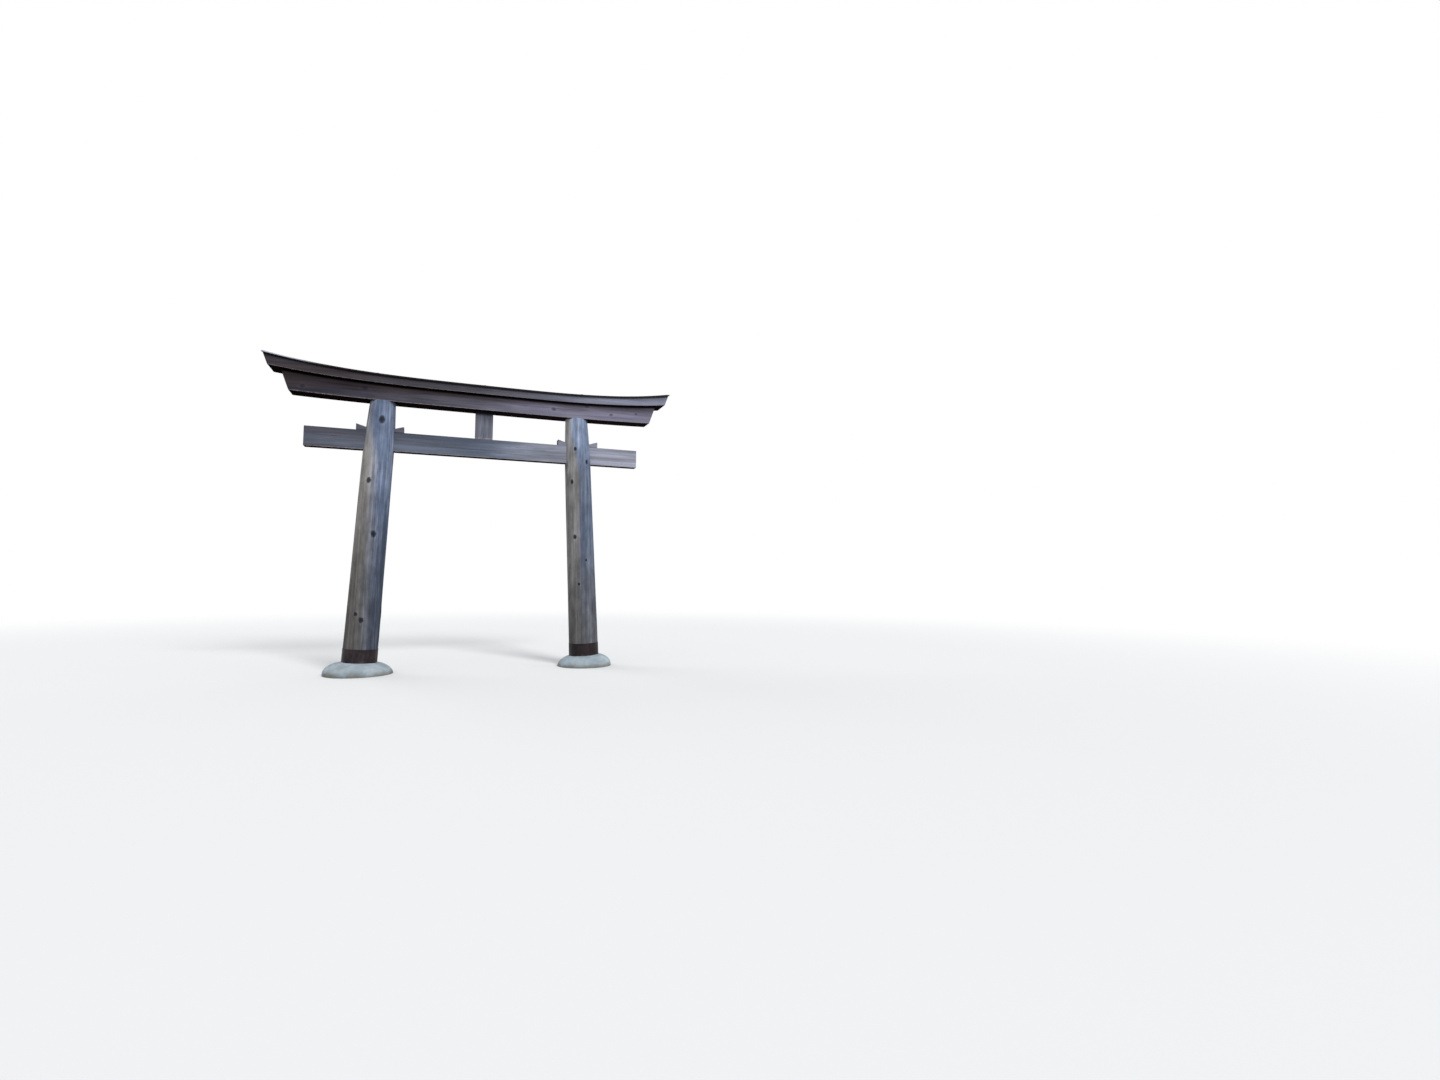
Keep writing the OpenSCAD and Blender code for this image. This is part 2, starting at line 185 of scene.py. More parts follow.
# Short upright checks in the beams' ends as (place across, height over the underside, length)
TIE_END_CHECKS = [(-0.01, 0.05, 0.06), (0.02, 0.13, 0.06), (-0.02, 0.17, 0.06)]
LOWER_END_CHECKS = [(0.0, 0.06, 0.08), (-0.06, 0.11, 0.08), (0.06, 0.09, 0.08)]
UPPER_END_CHECKS = [(0.0, 0.06, 0.07), (-0.1, 0.05, 0.07), (0.09, 0.06, 0.07)]
END_CHECK_WIDTH, END_CHECK_DEPTH = 0.004, 0.015

# How a check closes: the power of its taper, the share of its width that is its bottom, and the
# least share of its width at its ends
CHECK_TAPER, CHECK_BOTTOM, CHECK_LEAST = 0.7, 0.2, 0.12

# Camera: the photograph's place and direction
CAMERA_PLACE = Vector((-0.447, -8.747, 1.098))
CAMERA_YAW, CAMERA_PITCH, CAMERA_ROLL = 0.3825, 0.0548, 0.0079
FOCAL_PIXELS, PHOTO_WIDTH, SENSOR_WIDTH = 695.4, 1440, 36.0

# Studio
FLOOR_R, FLOOR_FADE = 60, (7.0, 16.0)
WHITE = (1, 1, 1, 1)
FLOOR_SEEN = (0.8, 0.8, 0.8, 1.0)
FLOOR_BOUNCE = (0.26, 0.25, 0.24, 1.0)
SKY_COLOUR = (0.94, 0.97, 1.0, 1.0)
SKY_STRENGTH = 0.66
KEY_STRENGTH, KEY_TOWARDS, KEY_SPREAD = 2.05, (-0.3, 0.85, -0.62), 18
FILL_STRENGTH, FILL_TOWARDS, FILL_SPREAD = 0.7, (0.6, -0.7, -0.5), 40


# Shapes

def smooth_step(low, high, value):
    """Goes smoothly from 0 at low to 1 at high."""
    share = min(1.0, max(0.0, (value - low) / (high - low)))
    return share * share * (3 - 2 * share)


def places(start, end, gap):
    """Evenly spaced places from start to end, about a gap apart."""
    count = max(1, round((end - start) / gap))
    return [start + (end - start) * i / count for i in range(count + 1)]


def sweep(x):
    """How far the lintels have risen at a place along them, from 0 in the middle to 1 at the tip."""
    return (abs(x) / TIP_X) ** SWEEP_POWER


def underside_at(x):
    return UNDERSIDE_Z + LOWER_SWEEP * sweep(x)


def joint_at(x):
    return JOINT_Z + JOINT_SWEEP * sweep(x)


def eaves_at(x):
    return EAVES_Z + EAVES_SWEEP * sweep(x)


def post_radius(t):
    """Radius of a post, at a distance along its axis from the top of the footing."""
    shoulder = POST_HEIGHT - POST_HEAD
    if t < shoulder:
        return POST_BASE_R + (POST_SHOULDER_R - POST_BASE_R) * t / shoulder
    share = min(1.0, (t - shoulder) / POST_HEAD)
    return POST_SHOULDER_R - (POST_SHOULDER_R - POST_TOP_R) * share ** HEAD_POWER


def post_place(side):
    """Takes a post's own upright frame to its leaning place."""
    foot = Matrix.Translation((side * POST_SPACING / 2, 0, FOOT_TOP))
    return foot @ Matrix.Rotation(-side * POST_LEAN, 4, "Y")


def turn(outline, steps):
    """Spins an outline of (radius, height) points once round the Z axis."""
    bm = bmesh.new()
    verts = [bm.verts.new((radius, 0, height)) for radius, height in outline]
    for first, second in zip(verts, verts[1:]):
        bm.edges.new((first, second))
    bmesh.ops.spin(bm, geom=bm.verts[:] + bm.edges[:], cent=(0, 0, 0), axis=(0, 0, 1),
                   angle=2 * math.pi, steps=steps, use_merge=True)
    bmesh.ops.remove_doubles(bm, verts=bm.verts, dist=SAME_PLACE)
    bmesh.ops.recalc_face_normals(bm, faces=bm.faces)
    return bm


def outward(point):
    """The level way from the Z axis to a point."""
    return Vector((point.x, point.y, 0)).normalized()


def lumps(point, scales, seed=(0, 0, 0)):
    """Smooth unevenness from about -1 to 1 at a point, with its own scale along each axis."""
    return noise.noise(Vector([c * scale + start for c, scale, start in zip(point, scales, seed)]))


def divide(bm, axis, cuts):
    """Cuts every face at each of the given places along an axis."""
    normal = Vector((0, 0, 0))
    normal[axis] = 1
    for cut in cuts:
        bisect(bm, normal * cut, normal)


def bisect(bm, place, normal, **settings):
    """Cuts a whole bmesh along a plane."""
    bmesh.ops.bisect_plane(bm, geom=bm.verts[:] + bm.edges[:] + bm.faces[:], dist=SAME_PLACE,
                           plane_co=place, plane_no=normal, **settings)


def divide_evenly(bm, low, high, gaps, axes):
    """Cuts every face of a piece between two corners at even places, axis by axis."""
    for axis in axes:
        divide(bm, axis, places(low[axis], high[axis], gaps[axis])[1:-1])


def box_shell(bm, low, high):
    """Adds a plain box between two corners and returns its vertices."""
    verts = bmesh.ops.create_cube(bm, size=1)["verts"]
    bmesh.ops.scale(bm, vec=high - low, verts=verts)
    bmesh.ops.translate(bm, vec=(low + high) / 2, verts=verts)
    return verts


def ease(bm, edges, width, segments=2):
    """Rounds edges off."""
    return bmesh.ops.bevel(bm, geom=edges, offset=width, offset_type="OFFSET", segments=segments,
                           profile=0.5, affect="EDGES", material=-1, clamp_overlap=True)


def middles(bm):
    """Every face with its middle."""
    return {f: f.calc_center_median() for f in bm.faces}


def draw_out(bm, faces, way):
    """Draws a copy of some faces out along a way, with walls behind it."""
    drawn = bmesh.ops.extrude_face_region(bm, geom=faces)["geom"]
    bmesh.ops.translate(bm, vec=way, verts=[g for g in drawn if isinstance(g, bmesh.types.BMVert)])


def raise_faces(bm, faces, way):
    """Lifts some faces by a step, with walls round them and nothing left under them."""
    draw_out(bm, faces, way)
    bmesh.ops.delete(bm, geom=faces, context="FACES")


def add_bar(bm, section, start, end):
    """Adds a bar along X with a section of (y, z) points."""
    face = bm.faces.new([bm.verts.new((start, y, z)) for y, z in section])
    draw_out(bm, [face], (end - start, 0, 0))
    bmesh.ops.recalc_face_normals(bm, faces=bm.faces)


def chain(row, along, start, end):
    """The vertices of a row that lie between two places along an axis, in order."""
    return sorted((v for v in row if start <= v.co[along] <= end), key=lambda v: v.co[along])


def flat_row(bm, axis, skin, across, place):
    """The row of vertices on a flat skin, where an axis has one value, that lies nearest a place across."""
    level = [v for v in bm.verts if abs(v.co[axis] - skin) < ON_PLANE]
    if not level:
        return []
    nearest = min(level, key=lambda v: abs(v.co[across] - place)).co[across]
    return [v for v in level if abs(v.co[across] - nearest) < ON_PLANE]


def open_check(bm, row, width, depth, inward):
    """Opens a drying check along a row of joined vertices: a groove that closes at both ends.
    "inward" gives the way into the wood at a point."""
    edges = [e for a, b in zip(row, row[1:]) for e in a.link_edges if e.other_vert(a) is b]
    if len(edges) < 2 or len(edges) != len(row) - 1:
        return
    line = [v.co.copy() for v in row]
    made = ease(bm, edges, width / 2)["verts"]
    start, length = line[0], (line[-1] - line[0]).length
    along = (line[-1] - line[0]).normalized()
    for v in made:
        share = min(1.0, max(0.0, (v.co - start).dot(along) / length))
        middle = line[min(len(line) - 1, round(share * (len(line) - 1)))]
        middle = middle + along * (v.co - middle).dot(along)
        off = v.co - middle
        open_share = math.sin(math.pi * share) ** CHECK_TAPER
        ragged = 0.75 + 0.5 * noise.noise(v.co * 14)
        if off.length < width * CHECK_BOTTOM:
            v.co += inward(v.co) * depth * open_share * ragged
        else:
            v.co = middle + off * max(CHECK_LEAST, open_share * ragged)


def add_object(name, data):
    made = bpy.data.objects.new(name, data)
    bpy.context.scene.collection.objects.link(made)
    return made


def add_mesh(name, bm):
    """Turns a finished bmesh into an object."""
    mesh = bpy.data.meshes.new(name)
    bm.to_mesh(mesh)
    bm.free()
    return add_object(name, mesh)


def finish_mesh(piece, material, crease):
    """Smooths a piece's faces up to an angle in degrees, and gives it its material."""
    mesh = piece.data
    mesh.polygons.foreach_set("use_smooth", [True] * len(mesh.polygons))
    mesh.set_sharp_from_angle(angle=math.radians(crease))
    mesh.materials.clear()
    mesh.materials.append(material)


def dress_node(node, bm, name, material, crease=WOOD_CREASE):
    """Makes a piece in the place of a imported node, riding on the gate."""
    piece = add_mesh(name, bm)
    finish_mesh(piece, material, crease)
    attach(piece, "root")
    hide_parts(node)
    return piece


def cut_away(piece, cutter_bm):
    """Cuts a shape out of a piece for good."""
    cutter = add_mesh("cutter", cutter_bm)
    cut = piece.modifiers.new("cut", "BOOLEAN")
    cut.operation, cut.solver, cut.object = "DIFFERENCE", "EXACT", cutter
    graph = bpy.context.evaluated_depsgraph_get()
    carved = bpy.data.meshes.new_from_object(piece.evaluated_get(graph))
    piece.modifiers.clear()
    piece.data = carved
    bpy.data.objects.remove(cutter)


def set_share(bm, share_of):
    """Stores how high each vertex lies in its piece, from 0 at the underside to 1 at the top."""
    layer = bm.verts.layers.float.new(HEIGHT_SHARE)
    for v in bm.verts:
        v[layer] = share_of(v.co)


# Materials

def tone(red, green, blue):
    """A colour as it shows on a screen, from 0 to 255, made linear."""
    def linear(value):
        value /= 255
        return value / 12.92 if value <= 0.04045 else ((value + 0.055) / 1.055) ** 2.4
    return (linear(red), linear(green), linear(blue), 1.0)


POST_GLOSS, BEAM_GLOSS = 0.06, 0.0
KNOT_TONE, PALE_TONE = tone(38, 40, 50), tone(160, 162, 172)
BROWN_TONE, UNDERSIDE_BROWN_AND_SHADE_TONE, WORN_ARRIS_AND_HIGHLIGHT_TONE = tone(76, 60, 57), tone(27, 16, 15), tone(160, 150, 152)

# The posts' figure is laid on a skin of one radius, so that their taper doesn't cut across it
SKIN_R = 0.165

# The posts' tones go over from warm to a blue-grey sky tint round a line that starts at an angle from the
# front:
# partly the wood's own colour, partly painted sky light on the side that faces the open sky. FOOT_FADE is how
# far the sky tint fades at the foot. HEAD_LIFT is (from, to) up the post and (from, to) in brightness.
TONE_LINE = {LEFT: math.radians(27.8), RIGHT: math.radians(-22.8)}
WARM_TONE = {LEFT: tone(129, 126, 123), RIGHT: tone(136, 134, 133)}
SKY_TINT_TONE = {LEFT: tone(83, 94, 115), RIGHT: tone(99, 110, 131)}
FADED_TONE, BACK_TONE = tone(140, 134, 126), tone(100, 102, 108)
TONE_BLEND = {LEFT: (-0.85, 0.35), RIGHT: (-0.3, 0.2)}
HEAD_LIFT = {LEFT: (1.2, 2.5, 1.0, 1.75), RIGHT: (2.3, 2.75, 1.0, 1.9)}
FOOT_FADE = {LEFT: 0.1, RIGHT: 0.45}

# The sawn pieces' tones at their left, in their middle and at their right: the darker left end is painted
# shade and the paler right end painted light.
TIE_TONES = tone(93, 97, 110), tone(101, 110, 127), tone(172, 175, 192)
WEDGE_TONES = tone(74, 74, 85), tone(106, 106, 118), tone(140, 141, 157)
STRUT_TONES = tone(114, 117, 130), tone(114, 117, 130), tone(122, 125, 139)
LOWER_TONES = tone(58, 57, 66), tone(90, 89, 100), tone(129, 127, 146)
UPPER_TONES = tone(68, 66, 72), tone(80, 78, 86), tone(134, 137, 155)


class Nodes:
    """A node tree in the making, with short ways to add and join its nodes."""

    def __init__(self, tree):
        self.tree = tree

    def node(self, kind, inputs=(), **settings):
        """Adds a node and feeds its inputs, given in their order or by name."""
        made = self.tree.nodes.new("ShaderNode" + kind)
        for setting, value in settings.items():
            setattr(made, setting, value)
        named = isinstance(inputs, dict)
        for socket, value in inputs.items() if named else zip(made.inputs, inputs):
            self.feed(made.inputs[socket] if named else socket, value)
        return made

    def feed(self, socket, value):
        if isinstance(value, bpy.types.NodeSocket):
            self.tree.links.new(value, socket)
        else:
            socket.default_value = value

    def place(self):
        return self.node("TexCoord").outputs["Object"]

    def facing(self):
        """The way the surface looks, as (x, y, z)."""
        return self.parts(self.node("NewGeometry").outputs["True Normal"])

    def math(self, operation, *values):
        return self.node("Math", values, operation=operation).outputs[0]

    def product(self, first, *others):
        for other in others:
            first = self.math("MULTIPLY", first, other)
        return first

    def total(self, first, *others):
        for other in others:
            first = self.math("ADD", first, other)
        return first

    def vector(self, operation, *values):
        outputs = self.node("VectorMath", values, operation=operation).outputs
        return outputs["Value" if operation == "LENGTH" else "Vector"]

    def parts(self, vector):
        return self.node("SeparateXYZ", [vector]).outputs

    def join(self, *values):
        return self.node("CombineXYZ", values).outputs[0]

    def outward(self, vector):
        """The level direction of a place, away from the Z axis."""
        return self.vector("NORMALIZE", self.vector("MULTIPLY", vector, (1, 1, 0)))

    def centred(self, vector, origin, turn_by):
        """The place seen from an origin, with a turn undone."""
        return self.node("Mapping", (vector, origin, turn_by), vector_type="TEXTURE").outputs[0]

    def noise(self, vector, scale, detail=3.0, roughness=0.55, output="Fac"):
        inputs = {"Vector": vector, "Scale": scale, "Detail": detail, "Roughness": roughness}
        return self.node("TexNoise", inputs).outputs[output]

    def stretched(self, vector, along, scale, detail=3.0, roughness=0.55):
        """Noise drawn out along Z by a share of its scale, or along all axes by three shares."""
        along = along if isinstance(along, tuple) else (1, 1, along)
        return self.noise(self.vector("MULTIPLY", vector, along), scale, detail, roughness)

    def drift(self, vector, scale, amount):
        """Moves a place a little to and fro."""
        off = self.vector("SUBTRACT", self.noise(vector, scale, detail=2, output="Color"), (0.5, 0.5, 0.5))
        return self.vector("ADD", vector, self.vector("MULTIPLY", off, (amount, amount, amount)))

    def cells(self, vector, scale):
        return self.node("TexVoronoi", {"Vector": vector, "Scale": scale}).outputs["Distance"]

    def span(self, value, low, high, to_low=0.0, to_high=1.0):
        """Maps low..high onto to_low..to_high, smoothly and within those ends."""
        ends = low, high, to_low, to_high
        return self.node("MapRange", (value, *ends), interpolation_type="SMOOTHSTEP").outputs[0]

    def vary(self, noise_value, low, high):
        """Makes the usual run of a noise a number from low to high."""
        return self.span(noise_value, 0.3, 0.7, low, high)

    def sway(self, noise_value, amount):
        """Makes a noise swing round 0."""
        return self.product(self.math("SUBTRACT", noise_value, 0.5), amount)

    def blend(self, share, first, second, kind="MIX"):
        made = self.node("Mix", data_type="RGBA", blend_type=kind)
        self.feed(made.inputs[0], share)
        colours = [s for s in made.inputs if s.type == "RGBA"]
        for socket, colour in zip(colours, (first, second)):
            self.feed(socket, colour)
        return next(s for s in made.outputs if s.type == "RGBA")

    def shade(self, colour, *values):
        """A colour times some brightnesses."""
        grey = self.node("CombineColor", [self.product(*values)] * 3)
        return self.blend(1.0, colour, grey.outputs[0], kind="MULTIPLY")

    def height_share(self):
        return self.node("Attribute", attribute_name=HEIGHT_SHARE).outputs["Fac"]

    def seen(self):
        """1 where the camera, gloss or glass looks, and 0 for the light that is given off."""
        rays = self.node("LightPath").outputs
        return self.math("MAXIMUM", rays["Is Camera Ray"],
                         self.math("MAXIMUM", rays["Is Glossy Ray"], rays["Is Transmission Ray"]))

    def mix_shaders(self, output, share, first, second):
        """Sends two shaders to the tree's output, by a share of the second."""
        mix = self.node("MixShader", (share, first, second))
        self.feed(self.tree.nodes[output].inputs["Surface"], mix.outputs[0])


class Surface(Nodes):
    """A procedural material in the making."""

    def __init__(self, name, gloss=0.5, metallic=0.0):
        self.material = bpy.data.materials.new(name)
        self.material.use_nodes = True
        super().__init__(self.material.node_tree)
        self.shader = self.tree.nodes["Principled BSDF"]
        self.shader.inputs["Specular IOR Level"].default_value = gloss
        self.shader.inputs["Metallic"].default_value = metallic

    def bump(self, height, depth):
        made = self.node("Bump", {"Distance": depth, "Height": height})
        self.feed(self.shader.inputs["Normal"], made.outputs[0])

    def finish(self, colour, roughness):
        self.feed(self.shader.inputs["Base Color"], colour)
        self.feed(self.shader.inputs["Roughness"], roughness)
        return self.material


def knot_distance(s, grain, knots):
    """Distance to the nearest knot, in knot radii. A knot is (centre, radius)."""
    uneven = s.drift(s.drift(grain, 17, 0.022), 60, 0.012)
    nearest = 9.0
    for centre, radius in knots:
        off = s.vector("SUBTRACT", uneven, tuple(centre))
        off = s.vector("MULTIPLY", off, (1 / radius, 1 / radius, 0.72 / radius))
        nearest = s.math("MINIMUM", s.vector("LENGTH", off), nearest)
    return nearest


def wood_figure(s, grain, ring_gap, ring_depth, knots, flank=1.0):
    """The figure of old wood: streaks, a brightness, a relief and the distance to a knot.
    "grain" is the place in the timber from its pith, with Z along the grain. A log's round skin
    follows one ring, so its ring depth is 0. "flank" is 0 on end faces, which have no hair checks."""
    streaks = s.stretched(grain, 0.045, 34, detail=4)
    fibres = s.stretched(grain, 0.02, 230, detail=2)
    clouds = s.stretched(grain, 0.3, 5)
    knot = knot_distance(s, grain, knots)
    x, y, _ = s.parts(grain)
    from_pith = s.vector("LENGTH", s.join(x, y, 0.0))
    wander = s.product(s.stretched(grain, 0.16, 3.4, detail=2), 0.085)
    bulge = s.span(knot, 0.4, 4.5, 0.02, 0.0)
    ring = s.math("FRACT", s.math("DIVIDE", s.total(from_pith, wander, bulge), ring_gap))
    late = s.product(s.span(ring, 0.3, 0.88), s.span(ring, 1.0, 0.92))
    hair = s.math("ABSOLUTE", s.math("SUBTRACT", s.stretched(grain, 0.006, 60, detail=1), 0.5))
    patches = s.span(s.stretched(grain, 0.2, 11, detail=2), 0.55, 0.63)
    hair = s.product(s.span(hair, 0.014, 0.003), patches, flank)
    light = s.product(s.vary(streaks, 0.84, 1.16), s.vary(fibres, 0.93, 1.06), s.vary(clouds, 0.86, 1.12),
                      s.span(late, 0.0, 1.0, 1.0, 1 - ring_depth), s.span(hair, 0.0, 1.0, 1.0, 0.62))
    relief = s.total(s.product(streaks, 0.7), s.product(fibres, 0.3), s.product(late, 2.5 * ring_depth),
                     s.product(hair, -0.8), s.span(knot, 1.0, 0.5, 0.0, -0.6))
    return streaks, light, relief, knot


def paint_knots(s, colour, knot, depth):
    """Dark soft-edged hearts with faint rings, and the wood round them a little paler."""
    rings = s.math("SINE", s.product(knot, 13.0))
    colour = s.shade(colour, s.span(knot, 2.4, 1.3, 1.0, 1.1))
    body = s.shade(s.blend(0.85, colour, KNOT_TONE), s.span(rings, -1.0, 1.0, 0.9, 1.05))
    colour = s.blend(s.product(s.span(knot, 1.3, 0.75), depth), colour, body)
    return s.shade(colour, s.span(knot, 0.8, 0.2, 1.0, 1.0 - 0.45 * depth))


def post_knots(side):
    """Centres and radii of a post's knots in its own frame, the unseen ones by chance."""
    chance = random.Random(40 + side)
    far = [(chance.uniform(0.4, 2.3), chance.uniform(95, 265), chance.uniform(0.014, 0.023))
           for _ in range(BACK_KNOTS)]
    knots = []
    for height, angle, radius in POST_KNOTS[side] + far:
        out, turned = post_radius(height), math.radians(angle)
        knots.append((Vector((out * math.sin(turned), -out * math.cos(turned), height)), radius))
    return knots


def on_skin(point):
    """Draws a point in or out to the even skin that a post's figure is laid on."""
    return outward(point) * SKIN_R + Vector((0, 0, point.z))


def post_wood(side):
    s = Surface(SIDES[side] + "_post_wood", gloss=POST_GLOSS)
    place = s.centred(s.place(), (side * POST_SPACING / 2, 0, FOOT_TOP), (0, -side * POST_LEAN, 0))
    _, _, height = s.parts(place)
    untwist = {"Vector": place, "Angle": s.product(height, -side * SPIRAL)}
    way = s.outward(s.node("VectorRotate", untwist, rotation_type="Z_AXIS").outputs[0])
    grain = s.vector("ADD", s.vector("MULTIPLY", way, (SKIN_R, SKIN_R, 0.0)), s.join(0.0, 0.0, height))
    knots = [(on_skin(Matrix.Rotation(-side * SPIRAL * c.z, 3, "Z") @ c), r) for c, r in post_knots(side)]
    streaks, light, relief, knot = wood_figure(s, grain, 0.007, 0.0, knots)

    way_x, way_y, _ = s.parts(way)
    line = TONE_LINE[side]
    past_line = s.total(s.product(way_x, math.cos(line)), s.product(way_y, math.sin(line)),
                        s.sway(s.stretched(grain, 0.06, 16), 0.6),
                        s.span(height, 2.15, 2.85, 0.0, 0.7))
    # Painted sky light: the blue-grey sky tint on the side that faces the open sky, faded at the foot and
    # greyer on the back.
    sky_tint = s.blend(s.span(height, 0.2, 1.6, FOOT_FADE[side], 0.0), SKY_TINT_TONE[side], FADED_TONE)
    _, backward, _ = s.parts(s.outward(place))
    sky_tint = s.blend(s.span(backward, -0.1, 0.7, 0.0, 0.8), sky_tint, BACK_TONE)
    colour = s.blend(s.span(past_line, *TONE_BLEND[side]), WARM_TONE[side], sky_tint)
    colour = s.blend(s.span(streaks, 0.44, 0.74, 0.0, 0.26), colour, PALE_TONE)
    # Painted shade darkens the post towards its foot; HEAD_LIFT lightens it towards the head.
    uneven_height = s.total(height, s.sway(s.stretched(grain, 0.3, 9), 1.1))
    mottle = s.stretched(grain, 0.45, 13, roughness=0.6)
    colour = s.shade(colour, light, s.span(uneven_height, 0.1, 1.9, 0.55, 1.02), s.span(mottle, 0.32, 0.68, 0.82, 1.16),
                     s.span(uneven_height, *HEAD_LIFT[side]))
    colour = paint_knots(s, colour, knot, 1.0)
    s.bump(relief, 0.0016)
    return s.finish(colour, s.vary(streaks, 0.92, 0.78))


def beam_wood(name, tones, pith, ring_gap, knots=(), upright=False, painted_top_shade=0.5, brown=0.0, pale_x=0.9):
    """Sawn wood with its grain along X, or along Z if upright. "pith" is the heart's (y, z) or (x, y).
    The tones are those of its left, its middle and its right beyond pale_x: the darker left and the paler
    right paint shade and light along the gate. Under the piece above, the top shade setting paints shade that
    darkens it, most in a dark line just under its top, and brown makes it browner."""
    s = Surface(name, gloss=BEAM_GLOSS)
    place = s.place()
    x, y, z = s.parts(place)
    heart = (pith[0], pith[1], 0.0)
    grain = s.vector("SUBTRACT", place if upright else s.join(y, z, x), heart)
    knots = [(Vector(centre) - Vector(heart), radius) for centre, radius in knots]
    way_x, _, way_z = s.facing()
    flank = s.span(s.math("ABSOLUTE", way_z if upright else way_x), 0.85, 0.55)
    streaks, light, relief, knot = wood_figure(s, grain, ring_gap, 0.13, knots, flank)

    left, middle, right = tones
    # Painted shade darkens the left end and painted light pales the right end.
    uneven = s.total(x, s.sway(s.stretched(grain, 0.2, 7), 1.4))
    colour = s.blend(s.span(uneven, -1.7, 0.0), left, middle)
    colour = s.blend(s.span(uneven, -0.2, pale_x), colour, right)
    rusty = s.span(s.stretched(grain, 0.06, 12, detail=2), 0.46, 0.68, 0.0, 0.35)
    colour = s.blend(rusty, colour, BROWN_TONE)
    share = s.height_share()
    # Towards the top the wood is browner, a stain, and darker, a painted shade; just under its top a painted
    # shadow line darkens it most.
    top_shade_and_stain = s.span(s.total(share, s.sway(s.stretched(grain, 0.12, 9, detail=4), 0.7)), 0.3, 1.05)
    colour = s.blend(s.product(top_shade_and_stain, brown), colour, BROWN_TONE)
    colour = s.shade(colour, light, s.span(top_shade_and_stain, 0.0, 1.0, 1.08, 1 - painted_top_shade),
                     s.span(share, 0.82, 0.95, 1.0, max(0.12, 1 - 1.8 * painted_top_shade)))
    colour = paint_knots(s, colour, knot, 0.55)

    colour = s.shade(colour, s.span(flank, 0.0, 1.0, 0.72, 1.0))
    # The lower arrises paler: partly worn wood, partly a painted highlight.
    arris = s.product(s.span(share, 0.075, 0.015), s.span(way_z, -0.9, -0.5),
                      s.span(s.noise(place, 26), 0.35, 0.6, 0.2, 0.7))
    colour = s.blend(arris, colour, WORN_ARRIS_AND_HIGHLIGHT_TONE)
    # Undersides near-black: partly browner unweathered wood, partly painted shade.
    colour = s.blend(s.span(way_z, -0.35, -0.9, 0.0, 0.95), colour, UNDERSIDE_BROWN_AND_SHADE_TONE)
    s.bump(relief, 0.0014)
    return s.finish(colour, s.vary(streaks, 0.9, 0.76))


def roof_metal():
    s = Surface("roof_metal", gloss=0.12)
    place = s.place()
    x, _, _ = s.parts(place)
    runs = s.stretched(place, (1, 0.12, 0.12), 46, detail=4)
    clouds = s.noise(place, 5, detail=5, roughness=0.6)
    dust = s.stretched(place, (1, 0.35, 1), 30, detail=6)
    colour = s.blend(s.span(clouds, 0.35, 0.65), tone(24, 19, 22), tone(37, 32, 35))
    colour = s.blend(s.span(runs, 0.48, 0.7, 0.0, 0.4), colour, tone(56, 51, 53))
    _, _, up = s.facing()
    settled = s.product(s.span(up, 0.6, 0.95, 0.0, 0.4), s.span(dust, 0.2, 0.8))
    colour = s.blend(settled, colour, tone(92, 86, 80))
    # Painted shade: the drip and end faces darker than the top.
    colour = s.shade(colour, s.span(up, 0.3, 0.8, 0.5, 1.0))
    # Painted reflection: a silvery line of sky in the drip edge near the left tip.
    drop = s.total(s.height_share(), s.sway(clouds, 0.8))
    painted_reflection = s.product(s.span(x, -1.6, -2.1), s.span(drop, 0.15, 0.5), s.span(up, 0.95, 0.75))
    colour = s.blend(painted_reflection, colour, tone(170, 175, 188))
    s.bump(s.total(s.product(clouds, 0.8), s.product(dust, 0.08)), 0.002)
    return s.finish(colour, s.span(dust, 0.35, 0.65, 0.45, 0.62))


def band_metal():
    s = Surface("band_metal", gloss=0.18, metallic=0.1)
    place = s.place()
    clouds = s.noise(place, 11, detail=5, roughness=0.6)
    grit = s.noise(place, 90, detail=4, roughness=0.7)
    drips = s.stretched(place, 0.1, 60)
    colour = s.blend(s.span(clouds, 0.38, 0.62), tone(32, 25, 28), tone(48, 39, 43))
    colour = s.blend(s.span(drips, 0.5, 0.68, 0.0, 0.35), colour, tone(64, 54, 56))
    x, _, height = s.parts(place)
    splash = s.product(s.span(height, FOOT_TOP, FOOT_TOP + 0.04, 0.3, 0.0), s.span(clouds, 0.42, 0.6))
    colour = s.blend(splash, colour, tone(96, 92, 90))
    # Painted shade: the right post's band darker.
    colour = s.shade(colour, s.span(x, -0.5, 0.5, 1.02, 0.75))
    s.bump(s.total(clouds, s.product(grit, 0.1)), 0.0012)
    return s.finish(colour, s.span(grit, 0.35, 0.65, 0.45, 0.62))


def footing_mortar():
    s = Surface("footing_mortar", gloss=0.3)
    place = s.place()
    x, _, height = s.parts(place)
    clouds = s.noise(place, 4.5, detail=5, roughness=0.6)
    grit = s.noise(place, 190, detail=4, roughness=0.7)
    trowel = s.stretched(s.drift(place, 3, 0.05), (0.22, 0.22, 1), 60)
    colour = s.blend(s.span(clouds, 0.35, 0.65), tone(140, 153, 163), tone(165, 177, 186))
    colour = s.shade(colour, s.vary(trowel, 0.9, 1.06), s.vary(grit, 0.94, 1.05),
                     s.span(x, -0.5, 0.5, 0.98, 1.1))
    pits = s.product(s.span(s.cells(place, 60), 0.12, 0.05), s.span(s.noise(place, 12), 0.56, 0.62))
    colour = s.shade(colour, s.span(pits, 0.0, 1.0, 1.0, 0.6))
    soil = s.span(s.total(height, s.sway(s.noise(place, 7, detail=5), 0.16)), 0.0, 0.075, 0.75, 0.0)
    colour = s.blend(soil, colour, tone(108, 104, 92))
    stain = s.product(s.span(s.noise(place, 6, detail=4), 0.5, 0.68), 0.35)
    colour = s.blend(stain, colour, tone(134, 136, 126))
    s.bump(s.total(s.product(trowel, 0.7), s.product(grit, 0.2), s.product(pits, -1.0)), 0.0013)
    return s.finish(colour, 0.88)


# Pieces of the gate

